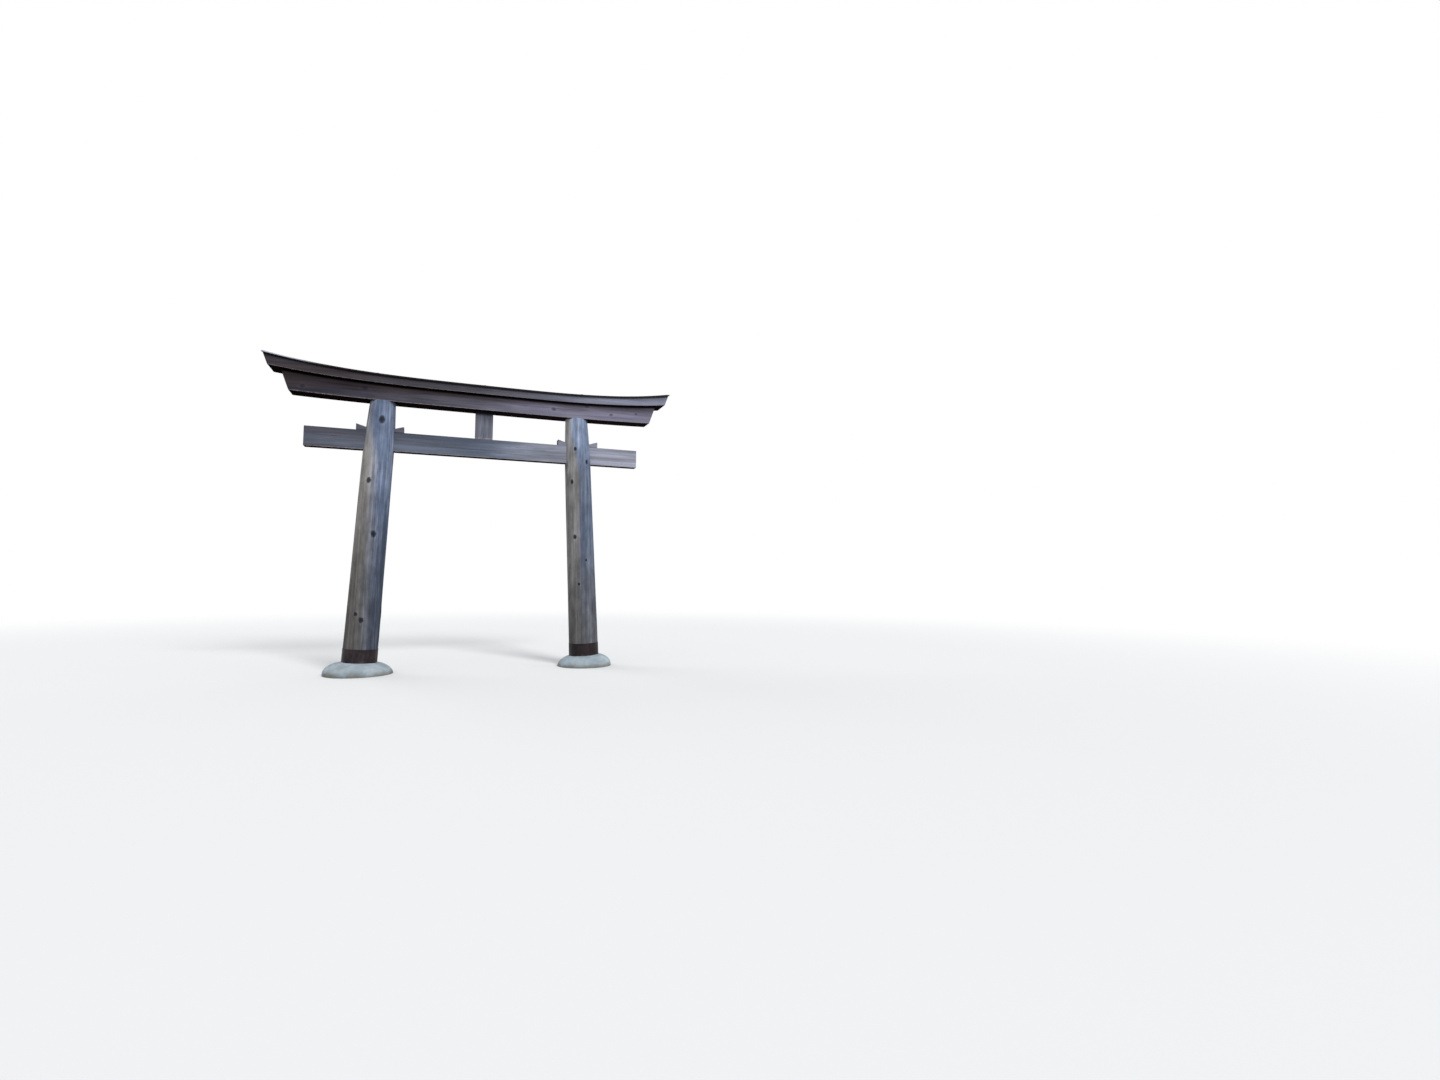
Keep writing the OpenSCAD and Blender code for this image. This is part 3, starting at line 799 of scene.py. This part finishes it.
def make_posts():
    for side, word in SIDES.items():
        stations = (places(-SOCKET_DEPTH, POST_HEIGHT - HEAD_ZONE, POST_GAP)
                    + places(POST_HEIGHT - HEAD_ZONE + HEAD_GAP, POST_HEIGHT + HEAD_SPARE, HEAD_GAP))
        outline = [(0, stations[0])] + [(post_radius(t), t) for t in stations] + [(0, stations[-1])]
        bm = turn(outline, POST_FACETS)
        for angle, start, end, width in POST_CHECKS[side]:
            row = chain(post_row(bm, angle), 2, start, end)
            open_check(bm, row, width, POST_CHECK_DEPTH * width, lambda p: -outward(p))
        shape_log(bm, side)
        bmesh.ops.transform(bm, matrix=post_place(side), verts=bm.verts)
        material = post_wood(side)
        post = dress_node(word + "_post", bm, word + "_log_post", material)
        cut_away(post, post_joints(side))
        finish_head(post, side)
        finish_mesh(post, material, WOOD_CREASE)


def post_row(bm, angle):
    """The row of vertices that runs up a turned post nearest an angle from the front."""
    nearest = math.radians(round(angle * POST_FACETS / 360) * 360 / POST_FACETS)
    way_x, way_y = math.sin(nearest), -math.cos(nearest)
    return [v for v in bm.verts
            if v.co.x * way_x + v.co.y * way_y > CORE_R and abs(v.co.x * way_y - v.co.y * way_x) < ON_ROW]


def shape_log(bm, side):
    """Gives a turned post the uneven skin of a peeled log, its spiral grain and its swollen knots."""
    knots = post_knots(side)
    seed = (7.3 * side, 1.9, 4.1)
    for v in bm.verts:
        t, radius = v.co.z, math.hypot(v.co.x, v.co.y)
        if radius < CORE_R:
            continue
        out = Matrix.Rotation(side * SPIRAL * t, 3, "Z") @ (Vector((v.co.x, v.co.y, 0)) / radius)
        spot = out * radius + Vector((0, 0, t))
        skin = SKIN_LUMPS * lumps(spot, (7, 7, 1.3), seed) + SKIN_HEWN * lumps(spot, (34, 34, 1.6), seed)
        swell = sum(knot_swell(spot - centre, size) for centre, size in knots)
        radius += smooth_step(SKIN_START, SKIN_FULL, t) * (skin + swell)
        v.co = out * radius + Vector((0, 0, t))


def knot_swell(off, size):
    """A long low swelling with a small hollow in its middle."""
    level = math.hypot(off.x, off.y)
    swelling = math.exp(-(level / (1.7 * size)) ** 2 - (off.z / (3.4 * size)) ** 2)
    hollow = math.exp(-(off.length / (0.8 * size)) ** 4)
    return KNOT_SWELL * swelling - KNOT_HOLLOW * hollow


def post_joints(side):
    """What is cut out of a log: the mortise of the tie beam and the housing of the lower lintel."""
    centre = side * POST_SPACING / 2
    start, end = centre - CUT_REACH, centre + CUT_REACH
    bm = bmesh.new()
    tie_y = TIE_HIGH.y + JOINT_GAP
    box_shell(bm, Vector((start, -tie_y, TIE_LOW.z)), Vector((end, tie_y, TIE_HIGH.z + MORTISE_OVER_BEAM)))
    floor = underside_at(head_x(side))
    lip = UNDERSIDE_Z + HOUSING_DEPTH
    inner, outer, top = LOWER_T / 2 + JOINT_GAP, CUT_HALF_WIDTH, lip + CUT_RISE
    section = [(-inner, floor), (inner, floor), (inner, lip), (outer, lip),
               (outer, top), (-outer, top), (-outer, lip), (-inner, lip)]
    add_bar(bm, section, start, end)
    return bm


def head_x(side):
    """Where the axis of a post stands at the head."""
    return side * (POST_SPACING / 2 - (POST_HEIGHT + HOUSING_DEPTH) * math.tan(POST_LEAN))


def finish_head(post, side):
    """Rounds the rim of a post's head and stands its tenon on it."""
    bm = bmesh.new()
    bm.from_mesh(post.data)
    top = UNDERSIDE_Z + HOUSING_DEPTH
    for v in bm.verts:
        rise = v.co.z - (top - HEAD_RIM_R)
        out = Vector((v.co.x - head_x(side), v.co.y, 0))
        if rise > 0 and out.length > POST_TOP_R - HEAD_RIM_ZONE:
            pull = HEAD_RIM_R - math.sqrt(max(0.0, HEAD_RIM_R ** 2 - min(rise, HEAD_RIM_R) ** 2))
            v.co -= out.normalized() * pull
    foot = Vector((head_x(side), 0, UNDERSIDE_Z + TENON_START))
    half = TENON_WIDTH / 2
    box_shell(bm, foot - Vector((half, half, 0)), foot + Vector((half, half, TENON_HEIGHT)))
    bm.to_mesh(post.data)
    bm.free()


def face_check(bm, half_t, face, along, place, start, end):
    """Opens a long check in the front or back of a straight piece, along X or Z."""
    row = chain(flat_row(bm, 1, face * half_t, 2 - along, place), along, start, end)
    open_check(bm, row, FACE_CHECK_WIDTH, FACE_CHECK_DEPTH, lambda p: Vector((0, -face, 0)))


def beam_checks(bm, half_length, half_t, low_z, long_ones, end_ones):
    """Opens the long checks in the faces of a straight beam and the short ones in both its ends."""
    for face, height, start, end in long_ones:
        face_check(bm, half_t, face, 0, low_z + height, start, end)
    for way in (-1, 1):
        for y, height, length in end_ones:
            row = chain(flat_row(bm, 0, way * half_length, 1, y), 2,
                        low_z + height - length / 2, low_z + height + length / 2)
            open_check(bm, row, END_CHECK_WIDTH, END_CHECK_DEPTH, lambda p: Vector((-way, 0, 0)))


def ripple(bm, half_t, amount, seed):
    """Makes the front and back of a beam a little uneven, as worn sawn wood is."""
    for v in bm.verts:
        if abs(v.co.y) > half_t - RIPPLE_ZONE:
            v.co.y += math.copysign(amount, v.co.y) * (lumps(v.co, (2.1, 0, 9), (0, seed, 0)) - 0.6)


def make_tie_beam():
    material = beam_wood("tie_beam_wood", TIE_TONES, pith=(-0.03, TIE_LOW.z - 0.04), ring_gap=0.0065,
                         painted_top_shade=0.1, pale_x=1.6)
    bm = bmesh.new()
    box_shell(bm, TIE_LOW, TIE_HIGH)
    ease(bm, bm.edges[:], TIE_ARRIS)
    divide_evenly(bm, TIE_LOW, TIE_HIGH, TIE_GAPS, (2, 1, 0))
    beam_checks(bm, TIE_HIGH.x, TIE_HIGH.y, TIE_LOW.z, TIE_CHECKS, TIE_END_CHECKS)
    ripple(bm, TIE_HIGH.y, RIPPLE, 3.0)
    set_share(bm, lambda p: (p.z - TIE_LOW.z) / (TIE_HIGH.z - TIE_LOW.z))
    dress_node("tie_beam", bm, "nuki_tie_beam", material)


def make_wedges():
    material = beam_wood("wedge_wood", WEDGE_TONES, pith=(0.01, TIE_HIGH.z - 0.05), ring_gap=0.005,
                         painted_top_shade=0.1)
    for side, word in SIDES.items():
        for way, kind in ((side, "outer"), (-side, "inner")):
            low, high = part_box(f"{word}_{kind}_wedge")
            tip_x, butt_x = (low.x, high.x) if way > 0 else (high.x, low.x)
            bm = bmesh.new()
            for v in box_shell(bm, low, high):
                if abs(v.co.x - tip_x) < ON_PLANE and v.co.z > low.z + WEDGE_TIP / 2:
                    v.co.z = low.z + WEDGE_TIP
            ease(bm, bm.edges[:], WEDGE_ARRIS)
            divide_evenly(bm, low, high, WEDGE_GAPS, (0, 1, 2))
            for v in bm.verts:
                near_butt = 1 - smooth_step(0.0, BUTT_ZONE, abs(v.co.x - butt_x))
                rough = lumps(v.co, (60, 60, 60), (side, 0, way))
                v.co.x -= way * near_butt * BUTT_WEAR * (1 + rough)
                if v.co.z > low.z + WEDGE_TIP / 2:
                    v.co.z -= WEDGE_WEAR * (lumps(v.co, (22, 22, 22)) + 0.6)
            set_share(bm, lambda p: 0.5)
            dress_node(f"{word}_{kind}_wedge", bm, f"{word}_{kind}_driven_wedge", material)


def make_centre_strut():
    low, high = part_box("centre_strut")
    low, high = Vector((low.x, low.y, TIE_HIGH.z)), Vector((high.x, high.y, UNDERSIDE_Z))
    material = beam_wood("strut_wood", STRUT_TONES, pith=(0.03, 0.1), ring_gap=0.006, upright=True,
                         painted_top_shade=0.45)
    bm = bmesh.new()
    box_shell(bm, low, high)
    ease(bm, [e for e in bm.edges if abs(e.verts[0].co.z - e.verts[1].co.z) > 0.1], STRUT_ARRIS)
    divide_evenly(bm, low, high, STRUT_GAPS, (0, 1, 2))
    for face, x, start, end in STRUT_CHECKS:
        face_check(bm, high.y, face, 2, x, low.z + start, low.z + end)
    ripple(bm, high.y, RIPPLE, 8.0)
    set_share(bm, lambda p: (p.z - low.z) / (high.z - low.z))
    dress_node("centre_strut", bm, "gaku_strut", material)


def straight_lintel(section, half_length, arris):
    """A lintel before its sweep: a bar with its edges eased and its faces divided."""
    bm = bmesh.new()
    add_bar(bm, section, -half_length, half_length)
    ease(bm, bm.edges[:], arris)
    half_t, height = (max(values) for values in zip(*section))
    divide_evenly(bm, (-half_length, -half_t, 0), (half_length, half_t, height), LINTEL_GAPS, (2, 1, 0))
    return bm


def make_lower_lintel():
    height, half_t, half_length = JOINT_Z - UNDERSIDE_Z, LOWER_T / 2, LOWER_HALF_LENGTH
    knots = [((face * half_t, z, x), radius) for face, found in LINTEL_KNOTS.items()
             for x, z, radius in found]
    material = beam_wood("lower_lintel_wood", LOWER_TONES, pith=(0.02, UNDERSIDE_Z - 0.09), ring_gap=0.0075,
                         knots=knots, painted_top_shade=0.5, brown=0.5, pale_x=0.75)
    section = [(-half_t, 0), (half_t, 0), (half_t, height), (-half_t, height)]
    bm = straight_lintel(section, half_length, LOWER_ARRIS)
    beam_checks(bm, half_length, half_t, 0, LOWER_CHECKS, LOWER_END_CHECKS)
    ripple(bm, half_t, LOWER_RIPPLE, 5.0)
    set_share(bm, lambda p: p.z / height)
    end_height = joint_at(half_length) - underside_at(half_length)
    top_half = half_length + end_height * math.tan(END_SLANT)
    for v in bm.verts:
        share = v.co.z / height
        x = v.co.x / half_length * (half_length + (top_half - half_length) * share)
        low, high = underside_at(x), joint_at(x) - SEAT_GAP
        v.co = Vector((x, v.co.y, low + (high - low) * share))
    dress_node("lower_lintel", bm, "swept_lower_lintel", material)


def end_x(z):
    """Where the slanted end of the upper lintel stands at a height."""
    return TIP_X - (eaves_at(TIP_X) - z) * math.tan(END_SLANT)


def make_upper_lintel():
    half_t, height = UPPER_T / 2, UPPER_FACE_HEIGHT
    material = beam_wood("upper_lintel_wood", UPPER_TONES, pith=(-0.04, JOINT_Z - 0.1), ring_gap=0.007,
                         painted_top_shade=0.4, brown=0.12, pale_x=1.5)
    section = [(-half_t, 0), (half_t, 0), (half_t, height), (0, height + RIDGE_RISE), (-half_t, height)]
    bm = straight_lintel(section, TIP_X, UPPER_ARRIS)
    beam_checks(bm, TIP_X, half_t, 0, UPPER_CHECKS, UPPER_END_CHECKS)
    ripple(bm, half_t, RIPPLE, 11.0)
    set_share(bm, lambda p: min(1.0, p.z / height))
    for v in bm.verts:
        share, over = min(1.0, v.co.z / height), max(0.0, v.co.z - height)
        x, along = v.co.x, v.co.x / TIP_X
        for _ in range(4):  # the end's place and height follow each other
            z = joint_at(x) + (eaves_at(x) - joint_at(x)) * share + over
            x = along * end_x(z)
        v.co = Vector((x, v.co.y, z))
    dress_node("upper_lintel", bm, "swept_upper_lintel", material)


def roof_height(x, y, lift):
    """Height of a point over the roof's slopes."""
    return eaves_at(x) + RIDGE_RISE * (1 - abs(y) / (UPPER_T / 2)) + lift


def roof_point(x, y, lift):
    """A point over the roof. The last stretch is drawn in to the slanted, overhanging end."""
    pull = math.copysign(max(0.0, 1 - (ROOF_REACH - abs(x)) / END_STRETCH), x)
    place = x
    for _ in range(3):  # the end's place and height follow each other
        limit = min(ROOF_REACH, end_x(roof_height(place, y, lift)) + END_OVERHANG)
        place = x + pull * (limit - ROOF_REACH)
    return Vector((place, y, roof_height(place, y, lift)))


def folded_lid(low, high, folded, bend):
    """Sheet metal over a rectangle, folded down along the sides that look the given ways."""
    bm = bmesh.new()
    box_shell(bm, low, high)
    bm.normal_update()
    kept = [Vector((0, 0, 1))] + [Vector(way) for way in folded]
    off = [f for f in bm.faces if all(f.normal.dot(way) < 0.9 for way in kept)]
    bmesh.ops.delete(bm, geom=off, context="FACES")
    ease(bm, [e for e in bm.edges if not e.is_boundary], bend, segments=3)
    divide_evenly(bm, low, high, SHEET_GAPS, (0, 1))
    bmesh.ops.solidify(bm, geom=bm.faces[:], thickness=METAL_T)
    return bm


def make_roof_sheets(material):
    out = UPPER_T / 2 + EAVES_OVERHANG
    seam_start, seam_end = CAP_WIDTH / 2 + SEAM_CLEAR, out - ROOF_BEND
    for face, word in ((FRONT, "front"), (BACK, "back")):
        y0, y1 = sorted((face * SEAT_GAP, face * out))
        for i in range(SHEETS):
            x0, x1 = (ROOF_REACH * (2 * (i + k) / SHEETS - 1) for k in (0, 1))
            folded = [(0, face, 0)]
            if i in (0, SHEETS - 1):
                folded.append((-1 if i == 0 else 1, 0, 0))
            bm = folded_lid(Vector((x0 + SEAT_GAP, y0, -DRIP_HEIGHT)), Vector((x1 - SEAT_GAP, y1, 0)),
                            folded, ROOF_BEND)
            if i < SHEETS - 1:
                seam_x = x1 - SEAT_GAP - SEAM_WIDTH
                divide(bm, 0, [seam_x])
                divide(bm, 1, [face * seam_start, face * seam_end])
                bm.normal_update()
                seam = [f for f, m in middles(bm).items()
                        if f.normal.z > 0.9 and m.x > seam_x and seam_start < abs(m.y) < seam_end]
                raise_faces(bm, seam, (0, 0, SEAM_RISE))
            set_share(bm, lambda p: 1 + p.z / DRIP_HEIGHT)
            for v in bm.verts:
                x, y, lift = v.co
                if abs(y) < out - 1.5 * ROOF_BEND:
                    lift -= ROOF_DENTS * (1 + lumps((x, y, 0), (9, 14, 0), (0, 0, 2)))
                v.co = roof_point(x, y, SEAT_GAP + SHEET_T + lift)
            name = f"{word}_roof_sheet_{i + 1}"
            dress_node(name, bm, name + "_folded", material, METAL_CREASE)


def make_ridge_caps(material):
    half_w = CAP_WIDTH / 2
    top = 2 * SHEET_T + 2 * SEAT_GAP
    for side, word in SIDES.items():
        x0, x1 = sorted((side * SEAT_GAP, side * ROOF_REACH))
        bm = folded_lid(Vector((x0, -half_w, -CAP_DEPTH)), Vector((x1, half_w, 0)),
                        [(0, -1, 0), (0, 1, 0), (side, 0, 0)], CAP_BEND)
        divide(bm, 1, [-CAP_CUT, 0.0, CAP_CUT])
        set_share(bm, lambda p: 0.0)
        for v in bm.verts:
            x, y, lift = v.co
            v.co = roof_point(x, y, top + lift - CAP_GROOVE * math.exp(-(y / CAP_GROOVE_HALF) ** 2))
        name = word + "_ridge_cap"
        dress_node(name, bm, name + "_folded", material, METAL_CREASE)


def band_radius(t):
    return post_radius(t) + SEAT_GAP + BAND_T


def make_foot_bands():
    material = band_metal()
    lap_way = Vector((math.cos(BAND_LAP_ANGLE), math.sin(BAND_LAP_ANGLE), 0))
    across = Vector((-lap_way.y, lap_way.x, 0))
    for side, word in SIDES.items():
        bm = turn([(band_radius(t), t) for t in places(0, BAND_HEIGHT, BAND_GAP)], BAND_FACETS)
        for v in bm.verts:
            dent = lumps(v.co, (16, 16, 12), (0, 0, side))
            v.co -= outward(v.co) * BAND_DENTS * (0.5 + 0.5 * dent)
        for edge in (-BAND_LAP_HALF, BAND_LAP_HALF):
            near = [f for f, m in middles(bm).items() if m.dot(lap_way) > LAP_SIDE]
            loose = list({v for f in near for v in f.verts} | {e for f in near for e in f.edges}) + near
            bmesh.ops.bisect_plane(bm, geom=loose, dist=ON_PLANE, plane_co=across * edge, plane_no=across)
        lap = [f for f, m in middles(bm).items()
               if m.dot(lap_way) > LAP_SIDE and abs(m.dot(across)) < BAND_LAP_HALF]
        raise_faces(bm, lap, lap_way * BAND_LAP_T)
        bmesh.ops.recalc_face_normals(bm, faces=bm.faces)
        face_out(bm)
        bmesh.ops.solidify(bm, geom=bm.faces[:], thickness=BAND_METAL_T)
        for t in places(RIVET_MARGIN, BAND_HEIGHT - RIVET_MARGIN, RIVET_GAP):
            head = bmesh.ops.create_icosphere(bm, subdivisions=2, radius=RIVET_R)["verts"]
            out = band_radius(t) + BAND_LAP_T - RIVET_SUNK
            bmesh.ops.translate(bm, vec=lap_way * out + Vector((0, 0, t)), verts=head)
        bmesh.ops.transform(bm, matrix=post_place(side), verts=bm.verts)
        dress_node(word + "_foot_band", bm, word + "_wrapped_foot_band", material, METAL_CREASE)


def face_out(bm):
    """Turns all faces over if they look in towards the Z axis."""
    bm.normal_update()
    if sum(f.normal.x * m.x + f.normal.y * m.y for f, m in middles(bm).items()) < 0:
        bmesh.ops.reverse_faces(bm, faces=bm.faces[:])


def footing_outline(rim_r):
    """Half of a footing's section in the frame of its post, carried on below the ground."""
    socket_r = POST_BASE_R + SOCKET_GAP
    ledge_r, top_r = POST_BASE_R + BAND_T, POST_BASE_R + LEDGE_WIDTH
    low, high = FOOTING_RIM - FOOT_TOP, -LEDGE_FALL
    shoulder = [(top_r + (rim_r - top_r) * math.cos(a) ** (2 / FOOTING_POWER),
                 low + (high - low) * math.sin(a) ** (2 / FOOTING_POWER))
                for a in places(math.pi / 2, 0, -FOOTING_ARC)]
    bottom = low - FOOTING_BELOW_RIM
    return ([(0, -SOCKET_DEPTH), (socket_r, -SOCKET_DEPTH), (socket_r, 0), (ledge_r, 0)] + shoulder
            + [(rim_r, z) for z in places(low, bottom, -FOOTING_GAP)[1:]] + [(0, bottom)])


def make_footings():
    material = footing_mortar()
    for side, word in SIDES.items():
        rim_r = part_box(word + "_footing")[1].y
        bm = turn(footing_outline(rim_r), FOOTING_FACETS)
        for v in bm.verts:
            radius = math.hypot(v.co.x, v.co.y)
            free = smooth_step(POST_BASE_R + FOOTING_EVEN, POST_BASE_R + FOOTING_UNEVEN, radius)
            if not free:
                continue
            broad = 0.7 + lumps(v.co, (5, 5, 7), (0, 0, 3 * side))
            trowel = 0.5 + lumps(v.co, (10, 10, 55))
            sink = free * max(0.0, FOOTING_LUMPS * broad + FOOTING_TROWEL * trowel)
            v.co -= Vector((v.co.x / radius, v.co.y / radius, 0.6)) * sink
        bmesh.ops.transform(bm, matrix=post_place(side), verts=bm.verts)
        bisect(bm, (0, 0, 0), (0, 0, -1), clear_outer=True)
        bmesh.ops.edgeloop_fill(bm, edges=[e for e in bm.edges if e.is_boundary])
        bmesh.ops.recalc_face_normals(bm, faces=bm.faces)
        name = word + "_footing"
        dress_node(name, bm, word + "_mortar_footing", material, MORTAR_CREASE)


# Studio

def make_floor():
    """A wide pale floor that keeps the gate's shadow and fades into the white background."""
    bm = bmesh.new()
    bmesh.ops.create_circle(bm, cap_ends=True, segments=96, radius=FLOOR_R)
    s = Surface("floor_paper", gloss=0.0)
    seen = s.seen()
    s.finish(s.blend(seen, FLOOR_BOUNCE, FLOOR_SEEN), 1.0)
    glow = s.node("Emission", {"Color": WHITE})
    far = s.span(s.vector("LENGTH", s.place()), *FLOOR_FADE)
    s.mix_shaders("Material Output", s.product(far, seen), s.shader.outputs[0], glow.outputs[0])
    floor = add_mesh("floor", bm)
    finish_mesh(floor, s.material, WOOD_CREASE)


def make_background():
    """White where the camera, gloss or glass sees it, and an even pale sky as light."""
    world = bpy.data.worlds.new("studio")
    bpy.context.scene.world = world
    world.use_nodes = True
    sky = Nodes(world.node_tree)
    light = sky.tree.nodes["Background"]
    light.inputs["Color"].default_value = SKY_COLOUR
    light.inputs["Strength"].default_value = SKY_STRENGTH
    white = sky.node("Background", {"Color": WHITE})
    sky.mix_shaders("World Output", sky.seen(), light.outputs[0], white.outputs[0])


def make_sun(name, towards, strength, spread):
    """A soft distant lamp that shines along a direction."""
    lamp = bpy.data.lights.new(name, "SUN")
    lamp.energy, lamp.angle = strength, math.radians(spread)
    add_object(name, lamp).rotation_euler = Vector(towards).to_track_quat("-Z", "Y").to_euler()


def make_camera():
    """The photograph's camera: its place, direction and angle of view."""
    data = bpy.data.cameras.new("camera")
    data.sensor_width = SENSOR_WIDTH
    data.lens = FOCAL_PIXELS / PHOTO_WIDTH * SENSOR_WIDTH
    camera = add_object("camera", data)
    turned = Matrix.Rotation(-CAMERA_YAW, 4, "Z") @ Matrix.Rotation(math.pi / 2 + CAMERA_PITCH, 4, "X")
    camera.matrix_world = Matrix.Translation(CAMERA_PLACE) @ turned @ Matrix.Rotation(CAMERA_ROLL, 4, "Z")
    bpy.context.scene.camera = camera


make_camera()
make_footings()
make_foot_bands()
make_posts()
make_tie_beam()
make_wedges()
make_centre_strut()
make_lower_lintel()
make_upper_lintel()
metal = roof_metal()
make_roof_sheets(metal)
make_ridge_caps(metal)
make_floor()
make_background()
make_sun("key_light", KEY_TOWARDS, KEY_STRENGTH, KEY_SPREAD)
make_sun("fill_light", FILL_TOWARDS, FILL_STRENGTH, FILL_SPREAD)
bpy.context.scene.view_settings.view_transform = "Standard"
